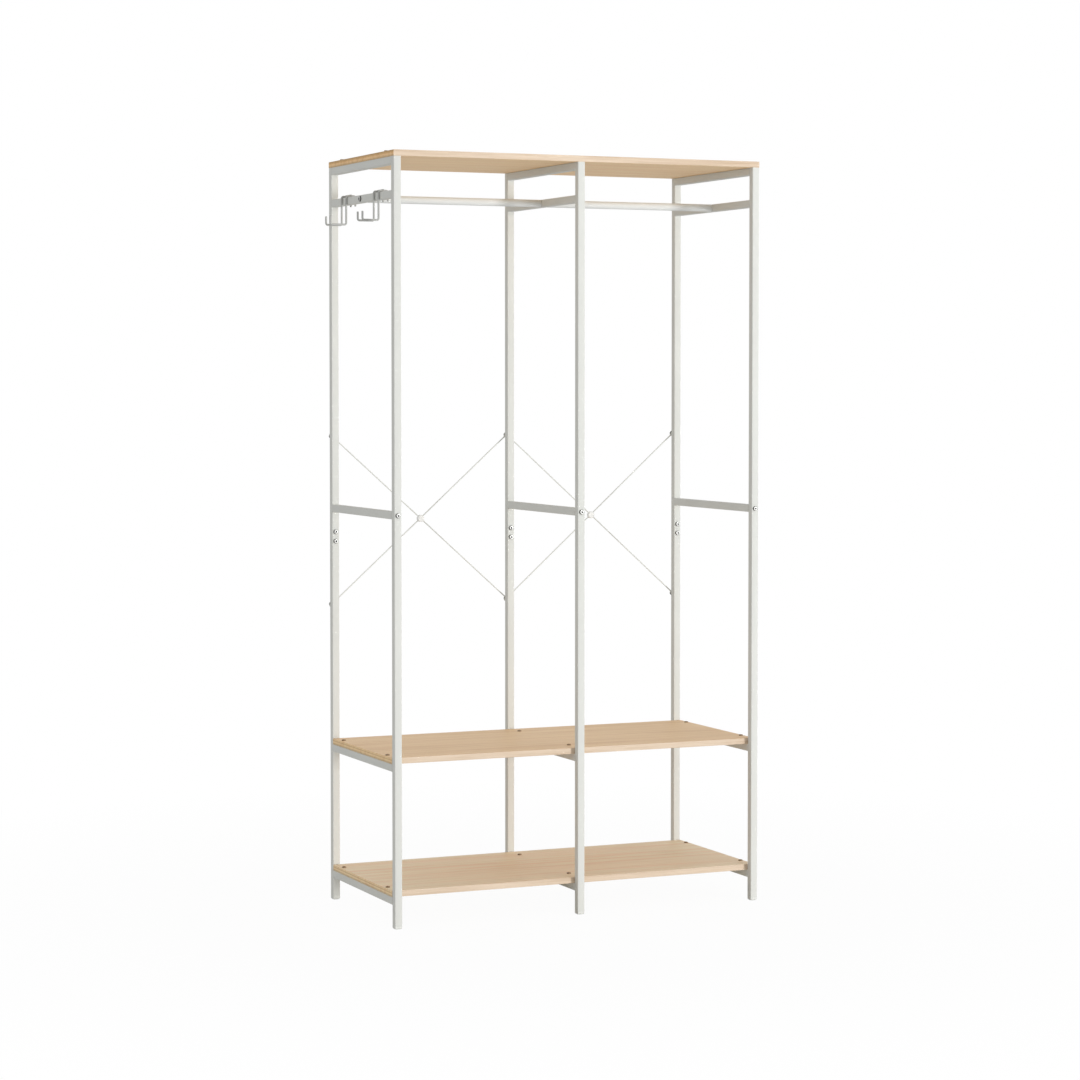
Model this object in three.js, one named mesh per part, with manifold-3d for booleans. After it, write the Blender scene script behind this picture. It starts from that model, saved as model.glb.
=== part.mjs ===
// Open frame wardrobe: three square tube side frames carry a top board and two shelf boards,
// with a hanging rod, a pair of crossed rear braces and a brace clip in each of two bays,
// and two double wire hooks that slide along the left frame's upper rail.
// Millimetres, +Z up, +X to the right and +Y to the rear. The floor is at zero height.

import * as THREE from 'three';
import { mergeVertices } from 'three/addons/utils/BufferGeometryUtils.js';
import Module from 'manifold-3d';

const wasm = await Module();
wasm.setup();

// Overall size, over the outer faces of the side frames
const frame_width = 1000;
const frame_depth = 465;
const frame_height = 1900;

// Clearances and the overrun of all cuts
const seat_clearance = 0.3;
const slide_clearance = 0.3;
const cut_overrun = 1;
const weld_overlap = 0.5;

// Square tube of the posts and rails
const tube_side = 19;
const tube_wall = 1.2;
const tube_corner_radius = 2;

// Seam between the lower and upper posts, and the rails' centres: the hanging rails hang a set
// length below the top board, and the middle rails lie a set length above the seam
const post_seam_height = 940;
const hanging_rail_drop = 91.5;
const middle_rail_rise = 72.5;

// Boards
const board_thickness = 15;
const board_edge_ease = 0.8;
const upper_shelf_top = 419;
const lower_shelf_top = 92;
const shelf_post_gap = 1.5;
const board_screw_inset = 75;
const board_screw_hole_radius = 2.4;

// Sleeves inside the seam of each post, and the screws that hold them
const sleeve_wall = 1.5;
const sleeve_length = 80;
const sleeve_corner_radius = 0.9;
const sleeve_screw_offset = 12;
const frame_screw_hole_radius = 3.2;

// Feet: a plug in the post's lower end on a rounded pad
const foot_height = 8;
const foot_edge_radius = 4;
const foot_stem_height = 18;

// Hanging rods: round tube with a bored insert at each end
const rod_radius = 9.5;
const rod_wall = 1.2;
const rod_insert_depth = 14;
const rod_insert_bore_radius = 3.2;

// Rod bolts, through the outer hanging rails into the rods' inserts
const rod_bolt_radius = 2.9;
const rod_bolt_head_radius = 6.75;
const rod_bolt_head_height = 4;
const rod_bolt_socket_radius = 2.3;
const rod_bolt_reach = 12;

// Rear braces: thin rod with a flattened and drilled eye at each end, held behind the rear posts
// on welded bosses above and below the posts' seam
const brace_rod_radius = 1.5;
const brace_upper_bolt_rise = 257.5;
const brace_lower_bolt_drop = 176.5;
const brace_post_gap = 10;
const brace_boss_radius = 5.5;
const brace_eye_reach = 8.5;
const brace_eye_width = 10;
const brace_eye_thickness = 2;
const brace_flat_length = 16;
const brace_taper_length = 10;
const brace_rod_gap = 0.3;

// Brace bolts, from behind through the eyes and bosses into the rear posts
const brace_bolt_radius = 2.9;
const brace_bolt_head_radius = 7;
const brace_bolt_head_height = 4;
const brace_bolt_socket_radius = 2.3;
const brace_bolt_reach = 5;

// Clip pressed on each brace crossing from the front
const clip_radius = 9;
const clip_face_wall = 2;
const clip_lip_depth = 1;
const clip_edge_radius = 1.5;
const clip_dimple_radius = 2.2;
const clip_dimple_depth = 0.7;

// Double wire hooks
const hook_wire_radius = 2.5;
const hook_wire_spacing = 33;
const hook_bend_radius = 4.5;
const hook_arm_drop = 59.5;
const hook_arm_length = 42;
const hook_tip_rise = 21.5;
const hook_leg_overhang = 4;
const hook_cross_wire_lift = 1.6;
const hook_cross_wire_overhang = 0.8;
const front_hook_inset = 113;
const rear_hook_inset = 121;

// Facet counts
const corner_facets = 1;
const bolt_hole_facets = 8;
const wire_facets = 12;
const bend_facets = 4;
const rod_facets = 24;
const bolt_facets = 12;
const dome_facets = 3;
const foot_edge_facets = 2;
const clip_facets = 24;
const socket_facets = 6;

// Places worked out from the sizes above
const half_width = frame_width / 2;
const half_depth = frame_depth / 2;
const half_tube = tube_side / 2;
const side_frame_x = half_width - half_tube;
const post_y = half_depth - half_tube;
const rail_length = frame_depth - 2 * tube_side;
const bay_width = side_frame_x - tube_side;
const board_underside = frame_height - board_thickness;
const hanging_rail_height = board_underside - hanging_rail_drop;
const middle_rail_height = post_seam_height + middle_rail_rise;
const brace_upper_bolt_height = post_seam_height + brace_upper_bolt_rise;
const brace_lower_bolt_height = post_seam_height - brace_lower_bolt_drop;
const tube_inner_side = tube_side - 2 * tube_wall;
const sleeve_side = tube_inner_side - 2 * seat_clearance;
const hook_wire_offset = hook_wire_radius + slide_clearance;

// Materials
function coated_steel() {
  return new THREE.MeshStandardMaterial({ color: 0xe4e4df, roughness: 0.45, metalness: 0.1 });
}

function oak_board() {
  return new THREE.MeshStandardMaterial({ color: 0xd6b794, roughness: 0.55, metalness: 0 });
}

function white_plastic() {
  return new THREE.MeshStandardMaterial({ color: 0xeeeeea, roughness: 0.5, metalness: 0 });
}

function zinc_steel() {
  return new THREE.MeshStandardMaterial({ color: 0xc9c9c6, roughness: 0.35, metalness: 0.8 });
}

// Three.js geometry to a solid, and a solid back to geometry
function solid(geometry) {
  const bare = geometry.clone();
  bare.deleteAttribute('normal');
  bare.deleteAttribute('uv');
  const merged = mergeVertices(bare);
  const corners = merged.index.array;
  const kept = [];
  for (let i = 0; i < corners.length; i += 3) {
    const [a, b, c] = corners.slice(i, i + 3);
    if (a !== b && b !== c && c !== a) {
      kept.push(a, b, c);
    }
  }
  const mesh = new wasm.Mesh({
    numProp: 3,
    vertProperties: new Float32Array(merged.attributes.position.array),
    triVerts: new Uint32Array(kept),
  });
  return new wasm.Manifold(mesh);
}

function geometry_of(body) {
  const mesh = body.getMesh();
  const geometry = new THREE.BufferGeometry();
  geometry.setAttribute('position', new THREE.BufferAttribute(mesh.vertProperties, 3));
  geometry.setIndex(new THREE.BufferAttribute(mesh.triVerts, 1));
  const flat = geometry.toNonIndexed();
  flat.computeVertexNormals();
  return flat;
}

function add_piece(group, name, body, material, x = 0, y = 0, z = 0) {
  const mesh = new THREE.Mesh(geometry_of(body), material);
  mesh.name = name;
  mesh.position.set(x, y, z);
  group.add(mesh);
  return mesh;
}

// Outlines
function rounded_rectangle(width, height, radius) {
  const x = width / 2 - radius;
  const y = height / 2 - radius;
  const outline = new THREE.Shape();
  outline.absarc(x, y, radius, 0, Math.PI / 2);
  outline.absarc(-x, y, radius, Math.PI / 2, Math.PI);
  outline.absarc(-x, -y, radius, Math.PI, 1.5 * Math.PI);
  outline.absarc(x, -y, radius, 1.5 * Math.PI, 2 * Math.PI);
  outline.closePath();
  return outline;
}

function regular_outline(radius, facets) {
  const points = [];
  for (let i = 0; i < facets; i += 1) {
    const angle = (2 * Math.PI * i) / facets;
    points.push(new THREE.Vector2(radius * Math.cos(angle), radius * Math.sin(angle)));
  }
  return new THREE.Shape(points);
}

// Extrusions that are centred on the axis they run along
function extruded_z(outline, length, facets = corner_facets) {
  const options = { depth: length, bevelEnabled: false, curveSegments: facets };
  return new THREE.ExtrudeGeometry(outline, options).translate(0, 0, -length / 2);
}

function extruded_y(outline, length, facets) {
  return extruded_z(outline, length, facets).rotateX(Math.PI / 2);
}

function extruded_x(outline, length, facets) {
  return extruded_z(outline, length, facets).rotateX(Math.PI / 2).rotateZ(Math.PI / 2);
}

function cutter_x(radius, length, x, y, z) {
  return solid(extruded_x(regular_outline(radius, bolt_hole_facets), length).translate(x, y, z));
}

function cutter_y(radius, length, x, y, z) {
  return solid(extruded_y(regular_outline(radius, bolt_hole_facets), length).translate(x, y, z));
}

// Square tube, centred, along Z or along Y
function tube_outline(side, wall, corner_radius) {
  const outline = rounded_rectangle(side, side, corner_radius);
  const inner_radius = Math.max(corner_radius - wall, corner_radius / 3);
  outline.holes.push(rounded_rectangle(side - 2 * wall, side - 2 * wall, inner_radius));
  return outline;
}

const frame_tube_outline = tube_outline(tube_side, tube_wall, tube_corner_radius);

// Post standing on its own zero height, with the holes of its fasteners
function post({ bottom, top, screw_height, screw_side, rail_bolt_height, brace_bolt_height, boss_length }) {
  const length = top - bottom;
  let body = solid(extruded_z(frame_tube_outline, length).translate(0, 0, length / 2));
  const through = tube_side + 2 * cut_overrun;
  const screw_y = screw_side * half_tube;
  body = body.subtract(cutter_y(frame_screw_hole_radius, half_tube, 0, screw_y, screw_height - bottom));
  if (rail_bolt_height) {
    body = body.subtract(cutter_y(frame_screw_hole_radius, through, 0, 0, rail_bolt_height - bottom));
  }
  if (brace_bolt_height) {
    const boss_z = brace_bolt_height - bottom;
    const boss_outline = regular_outline(brace_boss_radius, wire_facets);
    const boss = solid(extruded_y(boss_outline, boss_length + weld_overlap));
    const hole_length = half_tube + boss_length + cut_overrun;
    body = body
      .add(boss.translate([0, half_tube + (boss_length - weld_overlap) / 2, boss_z]))
      .subtract(cutter_y(frame_screw_hole_radius, hole_length, 0, hole_length / 2, boss_z));
  }
  return body;
}

function rail() {
  return solid(extruded_y(frame_tube_outline, rail_length));
}

// Hanging rail, with the hole that the rod's bolt passes
function hanging_rail() {
  return rail().subtract(cutter_x(rod_insert_bore_radius, tube_side + 2 * cut_overrun, 0, 0, 0));
}

// Sleeve inside the seam of a post, with the holes of its two screws
function sleeve(screw_side) {
  const outline = tube_outline(sleeve_side, sleeve_wall, sleeve_corner_radius);
  let body = solid(extruded_z(outline, sleeve_length));
  for (const screw_z of [-sleeve_screw_offset, sleeve_screw_offset]) {
    const screw_y = (screw_side * sleeve_side) / 2;
    body = body.subtract(cutter_y(frame_screw_hole_radius, sleeve_side / 2, 0, screw_y, screw_z));
  }
  return body;
}

// Foot: a pad whose lower edges are rounded both ways, and the stem that plugs the post
function foot() {
  const profile = new THREE.Shape();
  profile.moveTo(half_tube, foot_height);
  profile.lineTo(-half_tube, foot_height);
  const corner_x = half_tube - foot_edge_radius;
  profile.absarc(-corner_x, foot_edge_radius, foot_edge_radius, Math.PI, 1.5 * Math.PI);
  profile.absarc(corner_x, foot_edge_radius, foot_edge_radius, 1.5 * Math.PI, 2 * Math.PI);
  profile.closePath();
  const front_view = solid(extruded_y(profile, 2 * tube_side, foot_edge_facets));
  const side_view = solid(extruded_x(profile, 2 * tube_side, foot_edge_facets));
  const plan = rounded_rectangle(tube_side, tube_side, tube_corner_radius);
  const pad = solid(extruded_z(plan, 2 * tube_side)).intersect(front_view).intersect(side_view);
  const stem_outline = rounded_rectangle(sleeve_side, sleeve_side, sleeve_corner_radius);
  const stem_length = foot_stem_height + weld_overlap;
  const stem = extruded_z(stem_outline, stem_length);
  return pad.add(solid(stem.translate(0, 0, foot_height - weld_overlap + stem_length / 2)));
}

// Board with eased edges and a screw hole over each end of each side frame's rail
function board(depth) {
  const options = {
    depth: board_thickness - 2 * board_edge_ease,
    bevelEnabled: true,
    bevelThickness: board_edge_ease,
    bevelSize: board_edge_ease,
    bevelOffset: -board_edge_ease,
    bevelSegments: 2,
  };
  const x = half_width;
  const y = depth / 2;
  const outline = new THREE.Shape([
    new THREE.Vector2(-x, -y),
    new THREE.Vector2(x, -y),
    new THREE.Vector2(x, y),
    new THREE.Vector2(-x, y),
  ]);
  let body = solid(new THREE.ExtrudeGeometry(outline, options).translate(0, 0, board_edge_ease));
  const screw_y = half_depth - board_screw_inset;
  const hole_outline = regular_outline(board_screw_hole_radius, bolt_hole_facets);
  const screw_hole = solid(extruded_z(hole_outline, board_thickness + 2 * cut_overrun));
  for (const screw_x of [-side_frame_x, 0, side_frame_x]) {
    for (const y_side of [-1, 1]) {
      body = body.subtract(screw_hole.translate([screw_x, y_side * screw_y, board_thickness / 2]));
    }
  }
  return body;
}

// Hanging rod along X, centred: a closed ring profile turned round the rod's axis
function hanging_rod() {
  const half_length = bay_width / 2;
  const insert_end = half_length - rod_insert_depth;
  const profile = [
    new THREE.Vector2(rod_insert_bore_radius, -half_length),
    new THREE.Vector2(rod_radius, -half_length),
    new THREE.Vector2(rod_radius, half_length),
    new THREE.Vector2(rod_insert_bore_radius, half_length),
    new THREE.Vector2(rod_insert_bore_radius, insert_end),
    new THREE.Vector2(rod_radius - rod_wall, insert_end),
    new THREE.Vector2(rod_radius - rod_wall, -insert_end),
    new THREE.Vector2(rod_insert_bore_radius, -insert_end),
    new THREE.Vector2(rod_insert_bore_radius, -half_length),
  ];
  return solid(new THREE.LatheGeometry(profile, rod_facets).rotateZ(-Math.PI / 2));
}

// Bolt with a domed socket head, its shank pointing along +X from zero and its head behind it
function bolt(radius, length, head_radius, head_height, socket_radius) {
  const rim_share = 0.35;
  const crown_share = 0.55;
  const socket_depth_share = 0.6;
  const rim = head_height * rim_share;
  const crown = head_radius * crown_share;
  const profile = [new THREE.Vector2(0, length), new THREE.Vector2(radius, length)];
  profile.push(new THREE.Vector2(radius, 0), new THREE.Vector2(head_radius, 0));
  for (let i = 0; i <= dome_facets; i += 1) {
    const angle = (Math.PI / 2) * (i / dome_facets);
    const dome_radius = crown + (head_radius - crown) * Math.cos(angle);
    const dome_height = rim + (head_height - rim) * Math.sin(angle);
    profile.push(new THREE.Vector2(dome_radius, -dome_height));
  }
  profile.push(new THREE.Vector2(0, -head_height));
  profile.reverse();
  const body = solid(new THREE.LatheGeometry(profile, bolt_facets).rotateZ(-Math.PI / 2));
  const socket_depth = head_height * socket_depth_share;
  const socket_length = socket_depth + cut_overrun;
  const socket = extruded_x(regular_outline(socket_radius, socket_facets), socket_length);
  const socket_x = -head_height + socket_depth - socket_length / 2;
  return body.subtract(solid(socket.translate(socket_x, 0, 0)));
}

function rod_bolt() {
  const length = tube_side + rod_bolt_reach;
  return bolt(rod_bolt_radius, length, rod_bolt_head_radius, rod_bolt_head_height, rod_bolt_socket_radius);
}

function brace_bolt(length) {
  return bolt(
    brace_bolt_radius,
    length,
    brace_bolt_head_radius,
    brace_bolt_head_height,
    brace_bolt_socket_radius,
  );
}

// Which braces end at each rear post, above and below its seam
const brace_ends = {
  left: { upper: ['falling'], lower: ['rising'] },
  middle: { upper: ['falling', 'rising'], lower: ['falling', 'rising'] },
  right: { upper: ['rising'], lower: ['falling'] },
};

// The eyes of falling braces lie in front of the plane between the braces, and those of rising ones
// behind it. A boss ends at the first eye, and a bolt's head sits on the last one.
function brace_boss_length(side, level) {
  return brace_post_gap - (brace_ends[side][level].includes('falling') ? brace_eye_thickness : 0);
}

function brace_seat(side, level) {
  return brace_post_gap + (brace_ends[side][level].includes('rising') ? brace_eye_thickness : 0);
}

// Brace along X round the crossing at the origin. Its rod lies a little to the front, so that the
// same piece turned round passes behind it.
const brace_half_span = side_frame_x / 2;
const brace_half_rise = (brace_upper_bolt_height - brace_lower_bolt_height) / 2;
const brace_half_length = Math.hypot(brace_half_span, brace_half_rise);
const brace_tilt = Math.atan2(brace_half_rise, brace_half_span);
const brace_rod_y = -(brace_rod_radius + brace_rod_gap / 2);
const brace_flat_end = brace_half_length - brace_flat_length;
const brace_taper_end = brace_flat_end - brace_taper_length;

// Right end of the brace: the view from above, with the flat drawn off the rod's axis, meets the
// view of the eye from behind
function brace_end() {
  const tip = brace_half_length + brace_eye_reach;
  const neck_end = brace_taper_end - weld_overlap;
  const half_eye = brace_eye_width / 2;
  const plan = new THREE.Shape();
  plan.moveTo(tip, -brace_eye_thickness);
  plan.lineTo(tip, 0);
  plan.lineTo(brace_flat_end, 0);
  plan.lineTo(brace_taper_end, brace_rod_y + brace_rod_radius);
  plan.lineTo(neck_end, brace_rod_y + brace_rod_radius);
  plan.lineTo(neck_end, brace_rod_y - brace_rod_radius);
  plan.lineTo(brace_taper_end, brace_rod_y - brace_rod_radius);
  plan.lineTo(brace_flat_end, -brace_eye_thickness);
  plan.closePath();
  const face = new THREE.Shape();
  face.absarc(tip - half_eye, 0, half_eye, -Math.PI / 2, Math.PI / 2);
  face.lineTo(brace_flat_end, half_eye);
  face.lineTo(brace_taper_end, brace_rod_radius);
  face.lineTo(neck_end, brace_rod_radius);
  face.lineTo(neck_end, -brace_rod_radius);
  face.lineTo(brace_taper_end, -brace_rod_radius);
  face.lineTo(brace_flat_end, -half_eye);
  face.closePath();
  const plan_body = solid(extruded_z(plan, 2 * brace_eye_width));
  const face_body = solid(extruded_y(face, 2 * brace_eye_width, wire_facets / 2));
  const hole = cutter_y(frame_screw_hole_radius, 2 * brace_eye_width, brace_half_length, 0, 0);
  return plan_body.intersect(face_body).subtract(hole);
}

function falling_brace() {
  const end = brace_end();
  const rod = extruded_x(regular_outline(brace_rod_radius, wire_facets), 2 * brace_taper_end);
  const rod_body = solid(rod.translate(0, brace_rod_y, 0));
  const half_turn = [0, 180, 0];
  const tilt = [0, THREE.MathUtils.radToDeg(brace_tilt), 0];
  return end.add(end.rotate(half_turn)).add(rod_body).rotate(tilt);
}

// Clip: a round cap whose rear is open in two crossing grooves for the brace rods
function clip() {
  const groove_radius = brace_rod_radius + seat_clearance;
  const front_y = brace_rod_y - groove_radius - clip_face_wall;
  const rear_y = -brace_rod_y + brace_rod_radius + clip_lip_depth;
  const edge = clip_radius - clip_edge_radius;
  const profile = [
    new THREE.Vector2(0, front_y + clip_dimple_depth),
    new THREE.Vector2(clip_dimple_radius, front_y),
    new THREE.Vector2(edge, front_y),
    new THREE.Vector2(clip_radius, front_y + clip_edge_radius),
    new THREE.Vector2(clip_radius, rear_y),
    new THREE.Vector2(0, rear_y),
  ];
  let body = solid(new THREE.LatheGeometry(profile, clip_facets));
  const groove_length = 2 * (clip_radius + cut_overrun);
  for (const side of [1, -1]) {
    const rod_y = side * brace_rod_y;
    const open_depth = rear_y - rod_y + cut_overrun;
    const round = extruded_x(regular_outline(groove_radius, wire_facets), groove_length);
    const slot = new THREE.BoxGeometry(groove_length, open_depth, 2 * groove_radius);
    slot.translate(0, open_depth / 2, 0);
    for (const groove of [round, slot]) {
      body = body.subtract(solid(groove.rotateY(side * brace_tilt).translate(0, rod_y, 0)));
    }
  }
  return body;
}

// Wire bent round the corners of a path in the X and Z plane, with a station at each facet of
// each bend and none between
class WirePath extends THREE.Curve {
  constructor(corners) {
    super();
    this.stations = bent_stations(corners);
  }

  getPointAt(share, target = new THREE.Vector3()) {
    return target.copy(this.stations[Math.round(share * (this.stations.length - 1))]);
  }

  getTangentAt(share, target = new THREE.Vector3()) {
    const last = this.stations.length - 1;
    const i = Math.round(share * last);
    const before = this.stations[Math.max(i - 1, 0)];
    const after = this.stations[Math.min(i + 1, last)];
    return target.copy(after).sub(before).normalize();
  }
}

function bent_stations(corners) {
  const stations = [corners[0]];
  for (let i = 1; i < corners.length - 1; i += 1) {
    const corner = corners[i];
    const arriving = corner.clone().sub(corners[i - 1]).normalize();
    const leaving = corners[i + 1].clone().sub(corner).normalize();
    const centre = corner.clone().addScaledVector(arriving, -hook_bend_radius);
    centre.addScaledVector(leaving, hook_bend_radius);
    for (let step = 0; step <= bend_facets; step += 1) {
      const angle = (Math.PI / 2) * (step / bend_facets);
      const station = centre.clone().addScaledVector(leaving, -hook_bend_radius * Math.cos(angle));
      stations.push(station.addScaledVector(arriving, hook_bend_radius * Math.sin(angle)));
    }
  }
  stations.push(corners[corners.length - 1]);
  return stations;
}

// Hook, in the rail's own place: its middle at zero Y, the rail's centre at the origin
function hook() {
  const outer_x = -(half_tube + hook_wire_offset);
  const inner_x = half_tube + hook_wire_offset;
  const saddle_z = half_tube + hook_wire_offset;
  const leg_end_z = -(half_tube + hook_leg_overhang);
  const arm_z = -hook_arm_drop;
  const tip_x = outer_x - hook_arm_length;
  const corners = [
    new THREE.Vector3(inner_x, 0, leg_end_z),
    new THREE.Vector3(inner_x, 0, saddle_z),
    new THREE.Vector3(outer_x, 0, saddle_z),
    new THREE.Vector3(outer_x, 0, arm_z),
    new THREE.Vector3(tip_x, 0, arm_z),
    new THREE.Vector3(tip_x, 0, arm_z + hook_tip_rise),
  ];
  const path = new WirePath(corners);
  const options = { steps: path.stations.length - 1, extrudePath: path, bevelEnabled: false };
  const section = regular_outline(hook_wire_radius, wire_facets);
  const wire = solid(new THREE.ExtrudeGeometry(section, options));
  const cross_length = hook_wire_spacing + 2 * (hook_wire_radius + hook_cross_wire_overhang);
  const cross_wire = solid(extruded_y(section, cross_length));
  return wire
    .translate([0, -hook_wire_spacing / 2, 0])
    .add(wire.translate([0, hook_wire_spacing / 2, 0]))
    .add(cross_wire.translate([0, 0, saddle_z + hook_cross_wire_lift]));
}

// One side frame, its pieces named after its side
function side_frame(side, x) {
  const group = new THREE.Group();
  group.position.x = x;
  for (const [end, direction] of [['front', -1], ['rear', 1]]) {
    const y = direction * post_y;
    const at_rear = end === 'rear';
    const lower_post = post({
      bottom: foot_height,
      top: post_seam_height,
      screw_height: post_seam_height - sleeve_screw_offset,
      screw_side: -direction,
      brace_bolt_height: at_rear ? brace_lower_bolt_height : null,
      boss_length: brace_boss_length(side, 'lower'),
    });
    const upper_post = post({
      bottom: post_seam_height,
      top: board_underside,
      screw_height: post_seam_height + sleeve_screw_offset,
      screw_side: -direction,
      rail_bolt_height: middle_rail_height,
      brace_bolt_height: at_rear ? brace_upper_bolt_height : null,
      boss_length: brace_boss_length(side, 'upper'),
    });
    add_piece(group, `${side}_${end}_foot`, foot(), white_plastic(), 0, y, 0);
    add_piece(group, `${side}_${end}_lower_post`, lower_post, coated_steel(), 0, y, foot_height);
    add_piece(group, `${side}_${end}_upper_post`, upper_post, coated_steel(), 0, y, post_seam_height);
    add_piece(group, `${side}_${end}_sleeve`, sleeve(-direction), zinc_steel(), 0, y, post_seam_height);
  }
  const rail_heights = {
    base_rail: lower_shelf_top - board_thickness - half_tube,
    shelf_rail: upper_shelf_top - board_thickness - half_tube,
    middle_rail: middle_rail_height,
    top_rail: board_underside - half_tube,
  };
  for (const [place, z] of Object.entries(rail_heights)) {
    add_piece(group, `${side}_${place}`, rail(), coated_steel(), 0, 0, z);
  }
  add_piece(group, `${side}_hanging_rail`, hanging_rail(), coated_steel(), 0, 0, hanging_rail_height);
  return group;
}

// One bay's hanging rod, crossed braces and clip
function bay(side, x) {
  const group = new THREE.Group();
  group.position.x = x;
  const crossing_z = (brace_upper_bolt_height + brace_lower_bolt_height) / 2;
  const crossing_y = half_depth + brace_post_gap;
  const falling = falling_brace();
  const rising = falling.rotate([0, 0, 180]);
  add_piece(group, `${side}_hanging_rod`, hanging_rod(), coated_steel(), 0, 0, hanging_rail_height);
  add_piece(group, `${side}_falling_brace`, falling, coated_steel(), 0, crossing_y, crossing_z);
  add_piece(group, `${side}_rising_brace`, rising, coated_steel(), 0, crossing_y, crossing_z);
  add_piece(group, `${side}_brace_clip`, clip(), white_plastic(), 0, crossing_y, crossing_z);
  return group;
}

// Bolts of the braces, two in each rear post, their heads behind the eyes
function add_brace_bolts(group) {
  const levels = { upper: brace_upper_bolt_height, lower: brace_lower_bolt_height };
  const columns = { left: -side_frame_x, middle: 0, right: side_frame_x };
  const to_the_front = [0, 0, -90];
  for (const [side, x] of Object.entries(columns)) {
    for (const [level, z] of Object.entries(levels)) {
      const seat = brace_seat(side, level);
      const body = brace_bolt(seat + tube_wall + brace_bolt_reach).rotate(to_the_front);
      add_piece(group, `${side}_${level}_brace_bolt`, body, zinc_steel(), x, half_depth + seat, z);
    }
  }
}

function add_rod_bolts(group) {
  const turned = rod_bolt().rotate([0, 0, 180]);
  add_piece(group, 'left_rod_bolt', rod_bolt(), zinc_steel(), -half_width, 0, hanging_rail_height);
  add_piece(group, 'right_rod_bolt', turned, zinc_steel(), half_width, 0, hanging_rail_height);
}

function add_boards(group) {
  const shelf_depth = frame_depth - 2 * (tube_side + shelf_post_gap);
  add_piece(group, 'top_board', board(frame_depth), oak_board(), 0, 0, board_underside);
  add_piece(group, 'upper_shelf', board(shelf_depth), oak_board(), 0, 0, upper_shelf_top - board_thickness);
  add_piece(group, 'lower_shelf', board(shelf_depth), oak_board(), 0, 0, lower_shelf_top - board_thickness);
}

function add_hooks(group) {
  const front_y = front_hook_inset - half_depth;
  const rear_y = half_depth - rear_hook_inset;
  add_piece(group, 'front_hook', hook(), coated_steel(), -side_frame_x, front_y, hanging_rail_height);
  add_piece(group, 'rear_hook', hook(), coated_steel(), -side_frame_x, rear_y, hanging_rail_height);
}

// The origin is on the floor, in the middle of the whole outline with its hooks and bolt heads
const hook_reach = hook_wire_offset + hook_arm_length + hook_wire_radius;
const wardrobe = new THREE.Group();
wardrobe.position.x = (hook_reach - rod_bolt_head_height) / 2;
wardrobe.position.y = -(brace_post_gap + brace_eye_thickness + brace_bolt_head_height) / 2;
wardrobe.add(side_frame('left', -side_frame_x));
wardrobe.add(side_frame('middle', 0));
wardrobe.add(side_frame('right', side_frame_x));
wardrobe.add(bay('left', -side_frame_x / 2));
wardrobe.add(bay('right', side_frame_x / 2));
add_boards(wardrobe);
add_brace_bolts(wardrobe);
add_rod_bolts(wardrobe);
add_hooks(wardrobe);

export default wardrobe;
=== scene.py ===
import math
import random

import bmesh
import bpy
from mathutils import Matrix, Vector


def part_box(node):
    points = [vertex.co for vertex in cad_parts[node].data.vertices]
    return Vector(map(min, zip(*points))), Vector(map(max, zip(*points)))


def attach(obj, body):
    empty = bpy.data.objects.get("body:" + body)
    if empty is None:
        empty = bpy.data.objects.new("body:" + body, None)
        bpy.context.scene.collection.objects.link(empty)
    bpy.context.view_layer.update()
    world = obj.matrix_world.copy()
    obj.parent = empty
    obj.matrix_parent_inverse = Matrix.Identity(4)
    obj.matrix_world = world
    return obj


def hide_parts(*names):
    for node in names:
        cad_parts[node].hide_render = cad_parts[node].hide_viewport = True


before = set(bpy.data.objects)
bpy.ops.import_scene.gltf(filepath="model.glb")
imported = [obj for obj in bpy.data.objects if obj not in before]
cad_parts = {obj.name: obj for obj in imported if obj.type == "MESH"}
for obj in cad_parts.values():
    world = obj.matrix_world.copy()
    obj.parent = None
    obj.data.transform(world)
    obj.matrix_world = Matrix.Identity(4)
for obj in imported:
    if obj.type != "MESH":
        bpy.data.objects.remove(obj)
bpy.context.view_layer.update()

MM = 0.001
SIDES = ("left", "middle", "right")
BAYS = ("left", "right")
ENDS = ("front", "rear")
LEVELS = ("lower", "upper")
RAILS = ("base_rail", "shelf_rail", "middle_rail", "hanging_rail", "top_rail")
BOARDS = ("lower_shelf", "upper_shelf", "top_board")

# Tubes and feet
TUBE_CORNER = 2.0 * MM
TUBE_END_EASE = 0.35 * MM
RAIL_END_EASE = 0.1 * MM
CORNER_STEPS = 6
FOOT_EASE = 4 * MM
FOOT_STEPS = 7
FOOT_CORNER_SHARE = 0.9
FINE_EASE = 0.3 * MM

# Welds between rails and posts: the bead's radius varies a little, and it lies flat on the post
WELD_RADIUS = 1.1 * MM
WELD_STEPS = 8
WELD_LEAST_SWELL = 0.85
WELD_SWELL_RANGE = 0.3
WELD_REACH_SHARE = 0.55

# Bosses behind the rear posts
BOSS_RADIUS = 5.5 * MM
BOSS_WELD = 1.5 * MM
BOSS_STEPS = 5

# Screws and bolts
FRAME_SCREW_RADIUS = 5.9 * MM
FRAME_SCREW_HEIGHT = 4.8 * MM
FRAME_SCREW_SOCKET = 2.6 * MM
BOARD_SCREW_RADIUS = 5.2 * MM
BOARD_SCREW_HEIGHT = 2.8 * MM
BOARD_SCREW_SOCKET = 2.4 * MM
BOARD_SCREW_INSET = 75 * MM
SLEEVE_SCREW_OFFSET = 12 * MM
BOLT_HEAD_HEIGHT = 4 * MM
BOLT_HEAD_RADIUS = 6.75 * MM
BOLT_SOCKET_RADIUS = 2.8 * MM
BOLT_SHANK_RADIUS = 2.9 * MM
SHANK_TIP_SHARE = 0.8
SHANK_TIP_LENGTH = 0.6 * MM
SHANK_RINGS = 3

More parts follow.
